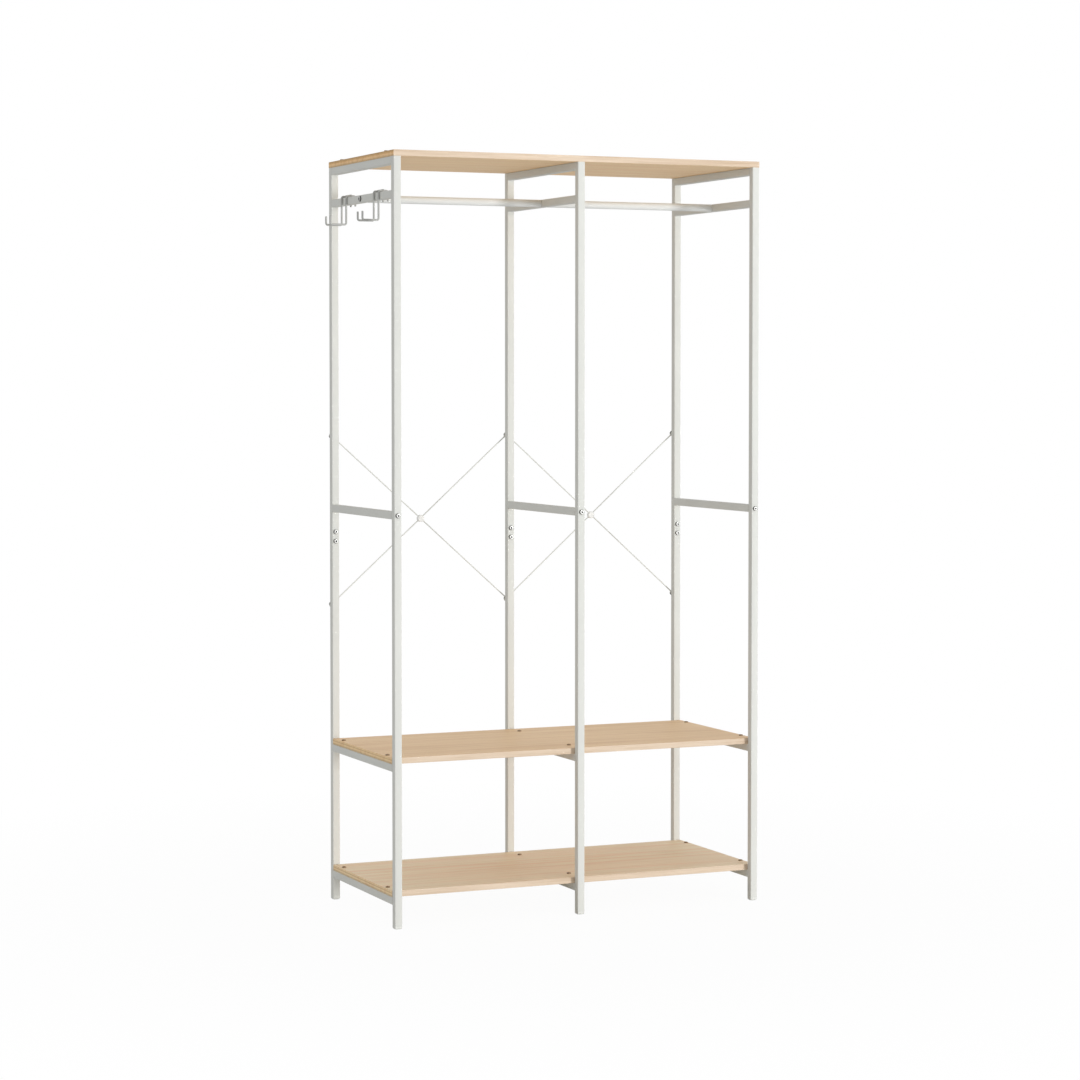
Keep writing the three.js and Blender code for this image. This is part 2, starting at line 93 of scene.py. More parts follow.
# Heads: a wall with a slightly narrower foot, a crown, and a bevelled socket
HEAD_STEPS = 36
DOME_STEPS = 8
DOME_RIM_SHARE = 0.6
DOME_CROWN_SHARE = 0.72
DOME_FOOT_SHARE = 0.985
DOME_FOOT_HEIGHT_SHARE = 0.3
SOCKET_DEPTH_SHARE = 0.62
SOCKET_MOUTH_SHARE = 1.12
SOCKET_BEVEL = 0.25 * MM
SOCKET_RINGS = 3

# Hooks, with the sizes of their solids
HOOK_WIRE = 2.5 * MM
HOOK_GAP = 0.3 * MM
HOOK_BEND = 4.5 * MM
HOOK_LEG_OVERHANG = 4 * MM
HOOK_TIP_RISE = 21.5 * MM
HOOK_CROSS_LIFT = 1.6 * MM
HOOK_CROSS_OVERHANG = 0.8 * MM
HOOK_END_ROUND = 0.9 * MM
HOOK_CROSS_ROUND = 0.6 * MM

# Round bars: the middle one of an end's three rings lies at a share of the rounding
BAR_STEPS = 16
BEND_STEPS = 10
MIDDLE_RING_SHARE = 0.3
ROD_STEPS = 64
ROD_END_EASE = 0.5 * MM
ROUND_STEPS = 40

# Brace end, from the round rod to the tip of its eye, in mm: the way past the bolt, half the
# width and half the thickness. The last value is how square the section is
BRACE_STATIONS = (
    (-13.0, 1.5, 1.5, 0.0),
    (-10.5, 1.7, 1.4, 0.2),
    (-8.0, 2.3, 1.2, 0.5),
    (-5.5, 3.3, 1.02, 0.8),
    (-3.5, 4.1, 1.0, 1.0),
    (-1.5, 4.7, 1.0, 1.0),
    (0.5, 4.8, 1.0, 1.0),
    (2.5, 4.5, 1.0, 1.0),
    (4.5, 3.9, 1.0, 1.0),
    (6.0, 3.2, 1.0, 1.0),
    (7.2, 2.3, 1.0, 1.0),
    (8.0, 1.3, 0.9, 1.0),
    (8.3, 0.5, 0.7, 1.0),
)
BRACE_STEPS = 20
BRACE_ROD_OFFSET = 1.65 * MM
BRACE_EYE_OFFSET = 1.0 * MM
EYE_SQUARENESS = 0.7
SQUARE_POWER_SHARE = 0.55

# Edges sharper than these angles, in degrees, aren't smoothed
SHARP_ANGLE = 35
BAR_SHARP_ANGLE = 50
WELD_SHARP_ANGLE = 80

# A direction or normal lies along an axis past these shares
HELPER_LIMIT = 0.9
FACE_LIMIT = 0.6

# Camera, fitted to the edges in the photograph. The photograph's own camera is level, with its
# horizon above the middle: a small shift and a slight pitch give the same view to about a pixel.
CAMERA_PLACE = Vector((-2.99259, -6.81014, 1.34753))
CAMERA_YAW = math.radians(23.826)
CAMERA_PITCH = math.radians(2.245)
CAMERA_SHIFT = -0.045
CAMERA_FAR = 200
FOCAL_PIXELS = 2895.07
PHOTO_PIXELS = 1080
SENSOR_WIDTH = 36

# Light: a surround that is brightest at the horizon, and one softbox
SURROUND_HORIZON = 0.84
SURROUND_ZENITH = 0.56
SURROUND_FADE_END = 0.45
KEY_AZIMUTH = math.radians(26)
KEY_DISTANCE = 14.0
KEY_WIDTH = 2.2
KEY_HEIGHT = 2.6
KEY_FOOT = 0.02
KEY_POWER = 1020

# Floor: white to the camera, with a little of its shading near the object
FLOOR_HALF = 60
FLOOR_GREY = 0.93
FLOOR_NEAR_SCALE = 0.45
FLOOR_NEAR_FULL = 0.6
FLOOR_NEAR_WHITE = 0.96

# Colours and noise: the part of a noise's range that holds nearly all of its values
WHITE = (1, 1, 1)
NOISE_LOW = 0.3
NOISE_HIGH = 0.7
MIX_FIRST_COLOUR = 6
MIX_SECOND_COLOUR = 7


# Node helpers
def new_material(name):
    material = bpy.data.materials.new(name)
    material.use_nodes = True
    tree = material.node_tree
    return material, tree, tree.nodes["Principled BSDF"]


def add_node(tree, kind, **inputs):
    node = tree.nodes.new(kind)
    for key, value in inputs.items():
        node.inputs[key].default_value = value
    return node


def object_coordinates(tree, scale=(1, 1, 1), shift=(0, 0, 0)):
    source = tree.nodes.new("ShaderNodeTexCoord")
    mapping = add_node(tree, "ShaderNodeMapping", Scale=scale, Location=shift)
    tree.links.new(source.outputs["Object"], mapping.inputs["Vector"])
    return mapping.outputs["Vector"]


def noise(tree, vector, scale, detail=2.0, roughness=0.5, distortion=0.0):
    node = add_node(
        tree,
        "ShaderNodeTexNoise",
        Scale=scale,
        Detail=detail,
        Roughness=roughness,
        Distortion=distortion,
    )
    tree.links.new(vector, node.inputs["Vector"])
    return node.outputs["Fac"]


def ramp(tree, value, stops):
    node = tree.nodes.new("ShaderNodeValToRGB")
    band = node.color_ramp
    while len(band.elements) < len(stops):
        band.elements.new(0.5)
    for element, (position, colour) in zip(band.elements, stops):
        element.position = position
        element.color = (*colour, 1)
    tree.links.new(value, node.inputs["Fac"])
    return node.outputs["Color"]


def blend(tree, value, low, high):
    """Colour that goes from the low to the high one over a noise's range."""
    return ramp(tree, value, [(NOISE_LOW, low), (NOISE_HIGH, high)])


def multiply_colours(tree, factor, first, second):
    """First colour times the second, to the extent of the factor."""
    node = add_node(tree, "ShaderNodeMix", Factor=factor)
    node.data_type = "RGBA"
    node.blend_type = "MULTIPLY"
    tree.links.new(first, node.inputs[MIX_FIRST_COLOUR])
    tree.links.new(second, node.inputs[MIX_SECOND_COLOUR])
    return node.outputs[2]


def map_range(tree, value, low, high, new_low, new_high):
    node = tree.nodes.new("ShaderNodeMapRange")
    node.inputs["From Min"].default_value = low
    node.inputs["From Max"].default_value = high
    node.inputs["To Min"].default_value = new_low
    node.inputs["To Max"].default_value = new_high
    tree.links.new(value, node.inputs["Value"])
    return node.outputs["Result"]


def math_node(tree, operation, first, second):
    node = tree.nodes.new("ShaderNodeMath")
    node.operation = operation
    tree.links.new(first, node.inputs[0])
    tree.links.new(second, node.inputs[1])
    return node.outputs["Value"]


def bump(tree, height, distance, strength, normal=None):
    node = add_node(tree, "ShaderNodeBump", Distance=distance, Strength=strength)
    tree.links.new(height, node.inputs["Height"])
    if normal is not None:
        tree.links.new(normal, node.inputs["Normal"])
    return node.outputs["Normal"]


def set_surface(tree, colour, normal, rough_value, rough_low, rough_high):
    """Colour and normal of a material, and a roughness that follows a noise."""
    shader = tree.nodes["Principled BSDF"]
    roughness = map_range(tree, rough_value, NOISE_LOW, NOISE_HIGH, rough_low, rough_high)
    tree.links.new(colour, shader.inputs["Base Color"])
    tree.links.new(roughness, shader.inputs["Roughness"])
    tree.links.new(normal, shader.inputs["Normal"])


def mix_shaders(tree, factor, first, second, output):
    node = tree.nodes.new("ShaderNodeMixShader")
    tree.links.new(factor, node.inputs["Fac"])
    tree.links.new(first, node.inputs[1])
    tree.links.new(second, node.inputs[2])
    tree.links.new(node.outputs["Shader"], tree.nodes[output].inputs["Surface"])


# Materials
def srgb(red, green, blue):
    def linear(value):
        share = value / 255
        return share / 12.92 if share <= 0.04045 else ((share + 0.055) / 1.055) ** 2.4
    return (linear(red), linear(green), linear(blue))


def powder_coat(name, seed, low, high):
    material, tree, shader = new_material(name)
    place = object_coordinates(tree)
    broad = noise(tree, place, scale=6.0 + seed)
    fine = noise(tree, place, scale=900.0, roughness=0.6)
    soft = noise(tree, place, scale=220.0)
    tone = blend(tree, broad, low, high)
    speck = ramp(tree, fine, [(0.35, (0.93, 0.93, 0.93)), (0.6, WHITE)])
    colour = multiply_colours(tree, 0.35, tone, speck)
    rough = bump(tree, fine, distance=0.00006, strength=0.5)
    normal = bump(tree, soft, distance=0.00025, strength=0.35, normal=rough)
    set_surface(tree, colour, normal, soft, rough_low=0.58, rough_high=0.68)
    shader.inputs["Specular IOR Level"].default_value = 0.07
    return material


def plastic(name, low, high):
    material, tree, _ = new_material(name)
    place = object_coordinates(tree)
    grain = noise(tree, place, scale=1400.0)
    broad = noise(tree, place, scale=60.0)
    colour = blend(tree, broad, low, high)
    normal = bump(tree, grain, distance=0.00004, strength=0.5)
    set_surface(tree, colour, normal, grain, rough_low=0.5, rough_high=0.62)
    return material


def plated_steel(name, shade):
    material, tree, shader = new_material(name)
    place = object_coordinates(tree)
    cloud = noise(tree, place, scale=380.0, detail=3.0)
    grain = noise(tree, place, scale=2600.0)
    light = tuple(min(1.0, value * 1.08) for value in shade)
    colour = blend(tree, cloud, shade, light)
    normal = bump(tree, grain, distance=0.00003, strength=0.4)
    set_surface(tree, colour, normal, cloud, rough_low=0.4, rough_high=0.52)
    shader.inputs["Metallic"].default_value = 1.0
    return material


def dull_painted_shade(name, shade):
    material, tree, _ = new_material(name)
    place = object_coordinates(tree)
    cloud = noise(tree, place, scale=500.0, detail=3.0)
    light = tuple(value * 1.25 for value in shade)
    colour = blend(tree, cloud, shade, light)
    normal = bump(tree, cloud, distance=0.00003, strength=0.4)
    set_surface(tree, colour, normal, cloud, rough_low=0.55, rough_high=0.7)
    return material


def oak(name, seed, light, dark):
    """Oak with its grain along X: long streaks, wandering growth bands, and short dark pores."""
    material, tree, shader = new_material(name)
    shift = (seed * 3.1, seed * 1.7, seed * 0.9)

    def grain(along, across, scale, **settings):
        place = object_coordinates(tree, scale=(along, across, across), shift=shift)
        return noise(tree, place, scale, **settings)

    wander = grain(1.0, 7.0, scale=1.4, distortion=0.6)
    bands = grain(0.9, 30.0, scale=1.8, detail=5.0, roughness=0.62, distortion=0.5)
    streaks = grain(4.0, 330.0, scale=1.5, detail=4.0, roughness=0.65)
    pores = grain(16.0, 1100.0, scale=1.3, detail=3.0, roughness=0.6)
    pale = tuple(min(1, value * 1.05) for value in light)
    colour = ramp(tree, bands, [(0.36, dark), (0.52, light), (0.7, pale)])
    broad = blend(tree, wander, (0.955, 0.945, 0.93), WHITE)
    colour = multiply_colours(tree, 0.9, colour, broad)
    fine = ramp(tree, streaks, [(0.33, (0.84, 0.78, 0.7)), (0.55, WHITE)])
    colour = multiply_colours(tree, 0.8, colour, fine)
    pore_mask = ramp(tree, pores, [(0.26, (0.72, 0.62, 0.52)), (0.38, WHITE)])
    colour = multiply_colours(tree, 0.6, colour, pore_mask)
    deep = bump(tree, pores, distance=0.00008, strength=0.6)
    normal = bump(tree, streaks, distance=0.00012, strength=0.35, normal=deep)
    set_surface(tree, colour, normal, streaks, rough_low=0.58, rough_high=0.46)
    shader.inputs["Specular IOR Level"].default_value = 0.35
    return material


def layered_end(name, seed, board_name):
    """Sawn end of a board: oak with darker layers."""
    low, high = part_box(board_name)
    material = oak(name, seed, *END_TONES_WITH_PAINTED_LIGHT[board_name])
    tree = material.node_tree
    base_colour = tree.nodes["Principled BSDF"].inputs["Base Color"]
    plain = base_colour.links[0].from_socket
    split = tree.nodes.new("ShaderNodeSeparateXYZ")
    tree.links.new(object_coordinates(tree), split.inputs["Vector"])
    height = map_range(tree, split.outputs["Z"], low.z, high.z, 0.0, 1.0)
    layers = ramp(tree, height, END_LAYERS[board_name])
    tree.links.new(multiply_colours(tree, 1.0, plain, layers), base_colour)
    return material


# Layers of the boards' ends: heights as shares of the thickness, and what the oak's colour is
# multiplied by
TOP_END_LAYERS = [
    (0.0, (0.62, 0.64, 0.6)),
    (0.16, (0.78, 0.79, 0.78)),
    (0.42, (1.0, 1.0, 1.0)),
    (0.58, (0.86, 0.8, 0.66)),
    (0.75, (0.7, 0.63, 0.48)),
    (0.92, (0.56, 0.54, 0.45)),
    (1.0, (0.56, 0.54, 0.45)),
]
SHELF_END_LAYERS = [
    (0.0, (0.7, 0.7, 0.7)),
    (0.2, (0.72, 0.72, 0.72)),
    (0.34, (0.96, 0.96, 0.95)),
    (0.48, (1.0, 1.0, 1.0)),
    (0.6, (0.76, 0.73, 0.68)),
    (0.68, (0.76, 0.73, 0.68)),
    (0.8, (1.0, 1.0, 1.0)),
    (1.0, (0.96, 0.96, 0.96)),
]
END_LAYERS = {
    "lower_shelf": SHELF_END_LAYERS,
    "upper_shelf": SHELF_END_LAYERS,
    "top_board": TOP_END_LAYERS,
}

# Light and dark tones of the oak. They differ from board to board only as painted light: the lower
# shelf's are the lightest, standing in for the light that the upper shelf keeps from it. The faces'
# tones are also painted lighter than the long edges' (OAK_EDGE), standing in for more light on the
# faces
END_TONES_WITH_PAINTED_LIGHT = {
    "lower_shelf": (srgb(255, 227, 182), srgb(248, 212, 166)),
    "upper_shelf": (srgb(255, 222, 172), srgb(244, 206, 154)),
    "top_board": (srgb(253, 211, 155), srgb(238, 194, 138)),
}
OAK_TONES_WITH_PAINTED_LIGHT = {
    "lower_shelf": (srgb(255, 236, 203), srgb(252, 221, 184)),
    "upper_shelf": (srgb(252, 217, 172), srgb(240, 200, 152)),
    "top_board": (srgb(255, 223, 178), srgb(248, 208, 160)),
}

COAT = powder_coat("coat", 0, srgb(218, 219, 214), srgb(222, 223, 218))
ROD_COAT = powder_coat("rod_coat", 2, srgb(223, 225, 223), srgb(227, 229, 227))
# Hooks: the frame's coat painted darker, as shade on the wires
HOOK_COAT_PAINTED_SHADE = powder_coat("hook_coat_painted_shade", 4, srgb(186, 187, 184), srgb(190, 191, 188))
FOOT_PLASTIC = plastic("foot_plastic", srgb(219, 220, 215), srgb(223, 224, 219))
CLIP_PLASTIC = plastic("clip_plastic", srgb(243, 243, 240), srgb(247, 247, 244))
STEEL = plated_steel("screw_steel", srgb(168, 168, 166))
# Board screws: brassy plated steel, painted darker as shade for the dark reflections on their heads
BOARD_STEEL_AND_SHADE = plated_steel("board_screw_steel_and_painted_shade", srgb(136, 112, 86))
# Dark materials of the screws' sockets and of the lowest rings of their walls: painted shade in the
# sockets and under the heads
BOARD_SOCKET_PAINTED_SHADE = dull_painted_shade("board_socket_painted_shade", srgb(70, 50, 34))
SOCKET_PAINTED_SHADE = dull_painted_shade("socket_painted_shade", srgb(58, 58, 56))
# Board faces: oak in each board's tones, with their painted light
OAK_TOP = {
    name: oak(f"oak_{name}", seed, *OAK_TONES_WITH_PAINTED_LIGHT[name])
    for seed, name in enumerate(BOARDS)
}
# Long edges: the oak's plain tones, without the faces' painted light
OAK_EDGE = oak("oak_edge", 7, srgb(223, 203, 180), srgb(211, 188, 162))
OAK_END = {
    name: layered_end(f"oak_end_{name}", 11 + seed, name)
    for seed, name in enumerate(BOARDS)
}


# Mesh helpers
def link_piece(name, mesh, materials, body="frame", replaces=()):
    piece = bpy.data.objects.new(name, mesh)
    bpy.context.scene.collection.objects.link(piece)
    for material in materials:
        mesh.materials.append(material)
    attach(piece, body)
    if replaces:
        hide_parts(*replaces)
    return piece


def paint_solid(node, materials):
    """The CAD node's own mesh, with the scene's materials in place of its plain one."""
    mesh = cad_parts[node].data
    mesh.materials.clear()
    for material in materials:
        mesh.materials.append(material)
    return mesh


def mesh_from(name, shell, sharp_angle=SHARP_ANGLE):
    """Smooth mesh of a shell's points and faces."""
    points, faces = shell
    mesh = bpy.data.meshes.new(name)
    mesh.from_pydata([tuple(point) for point in points], [], faces)
    mesh.validate()
    work = bmesh.new()
    work.from_mesh(mesh)
    bmesh.ops.recalc_face_normals(work, faces=work.faces)
    for face in work.faces:
        face.smooth = True
    limit = math.radians(sharp_angle)
    for edge in work.edges:
        if len(edge.link_faces) == 2 and edge.calc_face_angle(0) > limit:
            edge.smooth = False
    work.to_mesh(mesh)
    work.free()
    return mesh


def ring_loft(rings, closed=False):
    """Shell over rings of points that all have the same count, with caps unless it is closed."""
    count = len(rings[0])
    points = [point for ring in rings for point in ring]
    faces = []
    total = len(rings)
    for i in range(total if closed else total - 1):
        a = i * count
        b = ((i + 1) % total) * count
        for j in range(count):
            k = (j + 1) % count
            faces.append((a + j, a + k, b + k, b + j))
    if not closed:
        faces.append(tuple(reversed(range(count))))
        faces.append(tuple(range((total - 1) * count, total * count)))
    return points, faces


def join_shells(shells):
    """One shell from several."""
    points = []
    faces = []
    for shell_points, shell_faces in shells:
        base = len(points)
        points += shell_points
        faces += [tuple(index + base for index in face) for face in shell_faces]
    return points, faces


def axes_about(direction):
    """Unit vector along a direction, and two across it."""
    axis = Vector(direction).normalized()
    helper = Vector((0, 0, 1)) if abs(axis.z) < HELPER_LIMIT else Vector((1, 0, 0))
    u = axis.cross(helper).normalized()
    return axis, u, axis.cross(u)


def rounded_square(half, radius):
    """Outline of a square with round corners, as (u, v) pairs."""
    outline = []
    centre = half - radius
    for quarter, (su, sv) in enumerate(((1, 1), (-1, 1), (-1, -1), (1, -1))):
        for step in range(CORNER_STEPS + 1):
            angle = math.pi / 2 * (quarter + step / CORNER_STEPS)
            u = su * centre + radius * math.cos(angle)
            v = sv * centre + radius * math.sin(angle)
            outline.append((u, v))
    return outline


def square_tube(node, axis, end_ease=TUBE_END_EASE):
    """The CAD node's tube with smooth round corners and eased ends, in the node's own box."""
    low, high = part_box(node)
    centre = (low + high) / 2
    across = [i for i in range(3) if i != axis]
    half = (high[across[0]] - low[across[0]]) / 2
    centre[across[1]] = low[across[1]] + half
    rings = []
    stops = (
        (low[axis], end_ease),
        (low[axis] + end_ease, 0.0),
        (high[axis] - end_ease, 0.0),
        (high[axis], end_ease),
    )
    for along, inset in stops:
        ring = []
        for u, v in rounded_square(half - inset, TUBE_CORNER - inset):
            point = Vector(centre)
            point[axis] = along
            point[across[0]] += u
            point[across[1]] += v
            ring.append(point)
        rings.append(ring)
    name = f"{node}_tube"
    link_piece(name, mesh_from(name, ring_loft(rings)), [COAT], replaces=(node,))


def lathe(profile, place, direction, steps=ROUND_STEPS):
    """Shell of a profile of (radius, distance) pairs turned about a direction from a place."""
    axis, u, v = axes_about(direction)
    rings = []
    for radius, distance in profile:
        ring = []
        for step in range(steps):
            angle = 2 * math.pi * step / steps
            offset = radius * (math.cos(angle) * u + math.sin(angle) * v)
            ring.append(Vector(place) + distance * axis + offset)
        rings.append(ring)
    return ring_loft(rings)


# Screw and bolt heads
def dome_profile(radius, height):
    """Half profile of a domed head from its seat at zero to its crown."""
    rim = height * DOME_RIM_SHARE
    crown = radius * DOME_CROWN_SHARE
    profile = [
        (radius * DOME_FOOT_SHARE, 0),
        (radius, rim * DOME_FOOT_HEIGHT_SHARE),
        (radius, rim),
    ]
    for step in range(1, DOME_STEPS + 1):
        angle = math.pi / 2 * step / DOME_STEPS
        reach = crown + (radius - crown) * math.cos(angle)
        profile.append((reach, rim + (height - rim) * math.sin(angle)))
    return profile


def circle(radius):
    angles = [2 * math.pi * step / HEAD_STEPS for step in range(HEAD_STEPS)]
    return [(radius * math.cos(angle), radius * math.sin(angle)) for angle in angles]


def hexagon(radius):
    """Six sided outline with as many points as a circle."""
    outline = []
    flat = radius * math.cos(math.pi / 6)
    for step in range(HEAD_STEPS):
        angle = 2 * math.pi * step / HEAD_STEPS
        offset = (angle % (math.pi / 3)) - math.pi / 6
        reach = flat / math.cos(offset)
        outline.append((reach * math.cos(angle), reach * math.sin(angle)))
    return outline


def screw_head(
    name, place, direction, radius, height, socket, replaces=(), shank=None, on_board=False
):
    """Domed head with a six sided socket, seated at a place and facing a direction."""
    steel_and_shade = [BOARD_STEEL_AND_SHADE, BOARD_SOCKET_PAINTED_SHADE] if on_board else [STEEL, SOCKET_PAINTED_SHADE]
    axis, u, v = axes_about(direction)

    def ring_at(distance, outline):
        return [Vector(place) + distance * axis + x * u + y * v for x, y in outline]

    rings = []
    if shank:
        shank_radius, shank_length = shank
        rings.append(ring_at(-shank_length, circle(shank_radius * SHANK_TIP_SHARE)))
        rings.append(ring_at(-shank_length + SHANK_TIP_LENGTH, circle(shank_radius)))
        rings.append(ring_at(0, circle(shank_radius)))
    for reach, distance in dome_profile(radius, height):
        rings.append(ring_at(distance, circle(reach)))
    rings.append(ring_at(height, hexagon(socket * SOCKET_MOUTH_SHARE)))
    rings.append(ring_at(height - SOCKET_BEVEL, hexagon(socket)))
    rings.append(ring_at(height - height * SOCKET_DEPTH_SHARE, hexagon(socket)))
    piece = link_piece(
        name,
        mesh_from(name, ring_loft(rings)),
        steel_and_shade,
        replaces=replaces,
    )
    # The socket and the wall get the second, dark material: painted shade in the socket and under
    # the head's rim. On boards only the wall's lowest ring does
    socket_start = (len(rings) - SOCKET_RINGS) * HEAD_STEPS
    wall_start = (SHANK_RINGS if shank else 0) * HEAD_STEPS
    wall_end = wall_start + (1 if on_board else 2) * HEAD_STEPS
    for polygon in piece.data.polygons:
        lowest = min(polygon.vertices)
        if lowest >= socket_start or wall_start <= lowest < wall_end:
            polygon.material_index = 1


# Posts, rails and feet
def make_foot(side, end):
    """Pad of a foot with a rounded lower edge."""
    node = f"{side}_{end}_foot"
    low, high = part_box(node)
    post_low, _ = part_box(f"{side}_{end}_lower_post")
    pad_top = post_low.z
    centre = (low + high) / 2
    half = (high.x - low.x) / 2

    def ring_at(height, inset, corner=TUBE_CORNER):
        outline = rounded_square(half - inset, corner)
        return [Vector((centre.x + u, centre.y + v, height)) for u, v in outline]

    rings = []
    for step in range(FOOT_STEPS + 1):
        angle = math.pi / 2 * (1 - step / FOOT_STEPS)
        inset = FOOT_EASE * (1 - math.cos(angle))
        height = low.z + FOOT_EASE * (1 - math.sin(angle))
        rings.append(ring_at(height, inset, max(TUBE_CORNER, inset * FOOT_CORNER_SHARE)))
    rings.append(ring_at(pad_top - FINE_EASE, 0))
    rings.append(ring_at(pad_top, FINE_EASE))
    mesh = mesh_from(node, ring_loft(rings))
    link_piece(f"{node}_pad", mesh, [FOOT_PLASTIC], replaces=(node,))


def post_faces(side, end):
    """Y of a post's outer and inner face, whatever is welded on its rear."""
    low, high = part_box(f"{side}_{end}_upper_post")
    front = low.y
    rear = low.y + high.x - low.x
    return (front, rear) if end == "front" else (rear, front)


def make_boss(side, level):
    """Round boss on a rear post, where the braces are bolted, with its weld."""
    bolt_low, bolt_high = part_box(f"{side}_{level}_brace_bolt")
    _, post_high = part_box(f"{side}_rear_{level}_post")
    outer_y, _ = post_faces(side, "rear")
    centre = (bolt_low + bolt_high) / 2
    length = post_high.y - outer_y
    profile = [(BOSS_RADIUS + BOSS_WELD, -FINE_EASE), (BOSS_RADIUS + BOSS_WELD, 0)]
    for step in range(1, BOSS_STEPS + 1):
        angle = math.pi / 2 * step / BOSS_STEPS
        swell = BOSS_WELD * (1 - math.sin(angle))
        profile.append((BOSS_RADIUS + swell, BOSS_WELD * (1 - math.cos(angle))))
    profile += [(BOSS_RADIUS, length - FINE_EASE), (BOSS_RADIUS - FINE_EASE, length)]
    shell = lathe(profile, (centre.x, outer_y, centre.z), (0, 1, 0))
    name = f"{side}_{level}_boss"
    link_piece(name, mesh_from(name, shell), [COAT])


def make_weld(name, centre, axis, half):
    """Thin bead round a rail's end where it meets the post."""
    across = [i for i in range(3) if i != axis]
    rings = []
    rng = random.Random(name)
    for u, v in rounded_square(half, TUBE_CORNER):
        length = math.hypot(u, v)
        swell = WELD_RADIUS * (WELD_LEAST_SWELL + WELD_SWELL_RANGE * rng.random())
        ring = []
        for step in range(WELD_STEPS):
            angle = 2 * math.pi * step / WELD_STEPS
            point = Vector(centre)
            point[axis] += swell * math.sin(angle)
            reach = swell * WELD_REACH_SHARE * math.cos(angle)
            point[across[0]] += u * (1 + reach / length)
            point[across[1]] += v * (1 + reach / length)
            ring.append(point)
        rings.append(ring)
    shell = ring_loft(rings, closed=True)
    link_piece(name, mesh_from(name, shell, WELD_SHARP_ANGLE), [COAT])


def make_rail(side, rail_name):
    """Rail of a side frame. The middle rail is screwed to the posts, the others are welded."""
    node = f"{side}_{rail_name}"
    square_tube(node, 1, end_ease=RAIL_END_EASE)
    if rail_name == "middle_rail":
        return
    low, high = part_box(node)
    centre = (low + high) / 2
    for end, y in zip(ENDS, (low.y, high.y)):
        make_weld(f"{node}_{end}_weld", (centre.x, y, centre.z), 1, (high.x - low.x) / 2)


def make_side_frame(side):
    for end in ENDS:
        for level in LEVELS:
            square_tube(f"{side}_{end}_{level}_post", 2)
        make_foot(side, end)
    for rail_name in RAILS:
        make_rail(side, rail_name)


def paint_boards():
    """Boards keep their solids: faces get the grain of the top, the long edges or the sawn ends."""
    for board_name in BOARDS:
        mesh = paint_solid(board_name, (OAK_TOP[board_name], OAK_EDGE, OAK_END[board_name]))
        for polygon in mesh.polygons:
            x, y, _ = (abs(value) for value in polygon.normal)
            polygon.material_index = 2 if x > FACE_LIMIT else 1 if y > FACE_LIMIT else 0


# Hooks, braces and rods
def sweep(path, radius, end_round):
    """Round bar along a list of points, with rounded ends."""
    rings = []
    last = len(path) - 1
    middle = end_round * MIDDLE_RING_SHARE
    normal = None
    for i, point in enumerate(path):
        before = path[max(i - 1, 0)]
        after = path[min(i + 1, last)]
        tangent = (after - before).normalized()
        if normal is None:
            helper = Vector((0, 1, 0)) if abs(tangent.y) < HELPER_LIMIT else Vector((1, 0, 0))
            normal = tangent.cross(helper).normalized()
        normal = (normal - normal.dot(tangent) * tangent).normalized()
        other = tangent.cross(normal)

        def ring(ring_radius, shift):
            points = []
            for step in range(BAR_STEPS):
                angle = 2 * math.pi * step / BAR_STEPS
                outward = math.cos(angle) * normal + math.sin(angle) * other
                points.append(point + shift * tangent + ring_radius * outward)
            return points

        if i == 0:
            rings.append(ring(radius - end_round, 0))
            rings.append(ring(radius - middle, middle))
            rings.append(ring(radius, end_round))
        elif i == last:
            rings.append(ring(radius, -end_round))
            rings.append(ring(radius - middle, -middle))
            rings.append(ring(radius - end_round, 0))
        else:
            rings.append(ring(radius, 0))
    return ring_loft(rings)


def bent_path(corners, radius):
    """Points along a list of corners, each a right angle that is rounded by a radius."""
    path = [corners[0]]
    for before, corner, after in zip(corners, corners[1:], corners[2:]):
        arriving = (corner - before).normalized()
        leaving = (after - corner).normalized()
        centre = corner - arriving * radius + leaving * radius
        for step in range(BEND_STEPS + 1):
            angle = math.pi / 2 * step / BEND_STEPS
            back = leaving * radius * math.cos(angle)
            onward = arriving * radius * math.sin(angle)
            path.append(centre - back + onward)
    path.append(corners[-1])
    return path


def make_hook(node):
    """Two bent wires over the rail, with a cross wire on top."""
    low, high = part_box(node)
    rail_low, rail_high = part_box("left_hanging_rail")
    outer_x = rail_low.x - HOOK_GAP - HOOK_WIRE
    inner_x = rail_high.x + HOOK_GAP + HOOK_WIRE
    saddle_z = rail_high.z + HOOK_GAP + HOOK_WIRE
    tip_x = low.x + HOOK_WIRE
    arm_z = low.z + HOOK_WIRE
    leg_z = rail_low.z - HOOK_LEG_OVERHANG
    tip_z = arm_z + HOOK_TIP_RISE
    middle_y = (low.y + high.y) / 2
    half_spacing = (high.y - low.y) / 2 - HOOK_CROSS_OVERHANG - HOOK_WIRE
    shells = []
    for y in (middle_y - half_spacing, middle_y + half_spacing):
        corners = [
            Vector((inner_x, y, leg_z)),
            Vector((inner_x, y, saddle_z)),
            Vector((outer_x, y, saddle_z)),
            Vector((outer_x, y, arm_z)),
            Vector((tip_x, y, arm_z)),
            Vector((tip_x, y, tip_z)),
        ]
        shells.append(sweep(bent_path(corners, HOOK_BEND), HOOK_WIRE, HOOK_END_ROUND))
    cross_x = (outer_x + inner_x) / 2
    cross_z = saddle_z + HOOK_CROSS_LIFT
    cross = [Vector((cross_x, y, cross_z)) for y in (low.y, high.y)]
    shells.append(sweep(cross, HOOK_WIRE, HOOK_CROSS_ROUND))
    mesh = mesh_from(f"{node}_wire", join_shells(shells), BAR_SHARP_ANGLE)
    link_piece(f"{node}_wire", mesh, [HOOK_COAT_PAINTED_SHADE], body=node, replaces=(node,))


